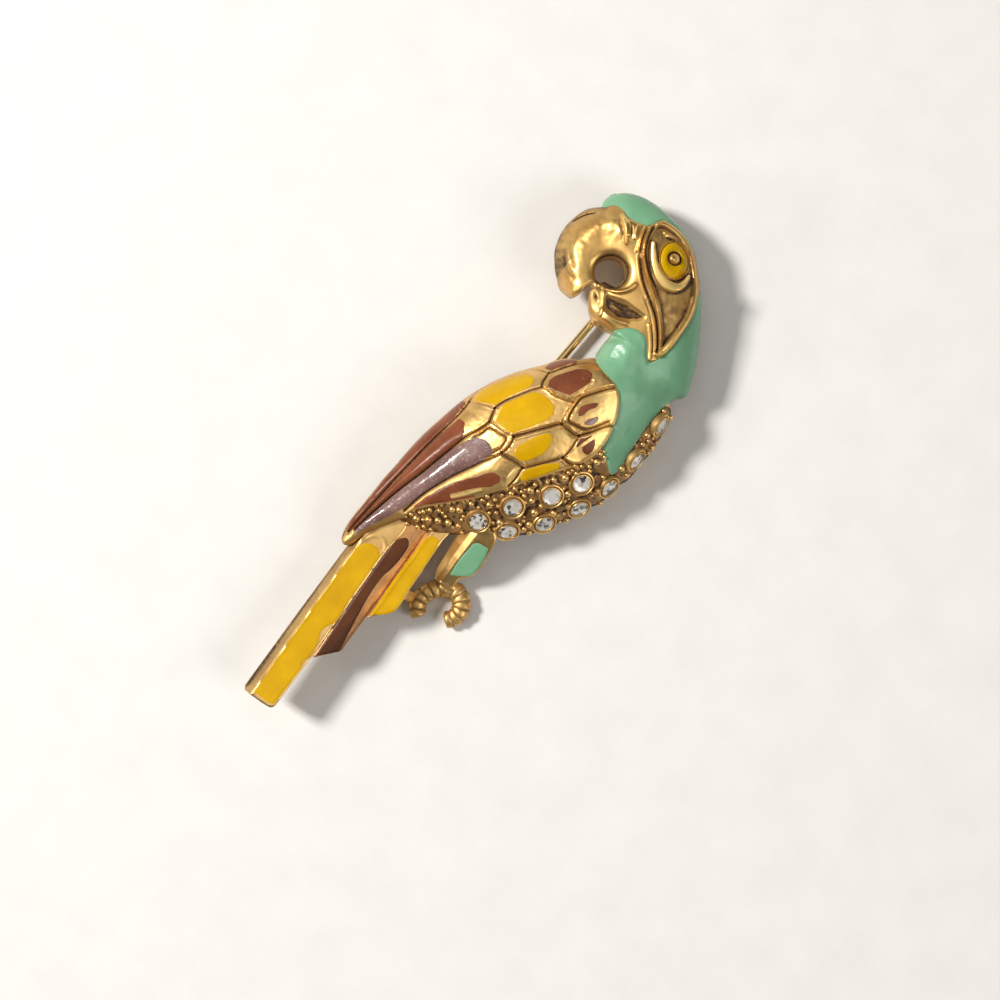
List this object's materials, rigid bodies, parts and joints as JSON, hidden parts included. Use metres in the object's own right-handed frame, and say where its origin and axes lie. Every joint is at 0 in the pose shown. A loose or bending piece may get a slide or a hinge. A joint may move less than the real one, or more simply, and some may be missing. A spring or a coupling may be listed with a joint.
{
  "type": "parrot figural brooch",
  "caption": "Parrot brooch: a hollow-backed gold-plated casting with enamelled crown, wing and tail, a stone-set belly, clasped claws and a hinged pin on the back.",
  "frame": {"origin": "on the floor under the middle of the box, with the brooch lying face up on its claws, its belly's edge, its hinge and its catch", "axes": "+Y from the tail to the head, +X to the right seen from the front, +Z out of the front"},
  "size_m": [0.0228, 0.0702, 0.011],
  "materials": {
    "gold_plate": "polished gold plate with dark antiquing in the hollows",
    "green_enamel": "glossy sea-green enamel",
    "yellow_enamel": "glossy yellow enamel",
    "brown_enamel": "glossy red-brown enamel, worn",
    "clear_stone": "clear cut glass with a foiled back",
    "pin_wire": "bright drawn wire"
  },
  "bodies": {
    "brooch": {"casting": "gold_plate", "green_head_enamel": "green_enamel", "green_leg_enamel": "green_enamel", "eye_enamel": "yellow_enamel", "wing_enamel_1": "brown_enamel", "wing_enamel_2": "brown_enamel", "wing_enamel_3": "brown_enamel", "wing_enamel_4": "brown_enamel", "wing_enamel_5": "yellow_enamel", "wing_enamel_6": "yellow_enamel", "wing_enamel_7": "yellow_enamel", "wing_enamel_8": "yellow_enamel", "flight_enamel_1": "brown_enamel", "flight_enamel_2": "brown_enamel", "flight_enamel_3": "brown_enamel", "flight_enamel_4": "brown_enamel", "tail_enamel_1": "yellow_enamel", "tail_enamel_2": "brown_enamel", "tail_enamel_3": "yellow_enamel", "stone_1": "clear_stone", "stone_2": "clear_stone", "stone_3": "clear_stone", "stone_4": "clear_stone", "stone_5": "clear_stone", "stone_6": "clear_stone", "stone_7": "clear_stone", "stone_8": "clear_stone", "stone_9": "clear_stone", "stone_10": "clear_stone", "pin_hinge": "gold_plate", "pin_catch": "gold_plate"},
    "stem": {"pin_stem": "pin_wire"}
  },
  "joints": [
    {"name": "pin_swing", "type": "hinge", "parent": "brooch", "child": "stem", "pos_m": [-0.00202, 0.0305, 0.0014], "axis": [0.9982, -0.0596, 0], "range_deg": [0, 100]}
  ]
}
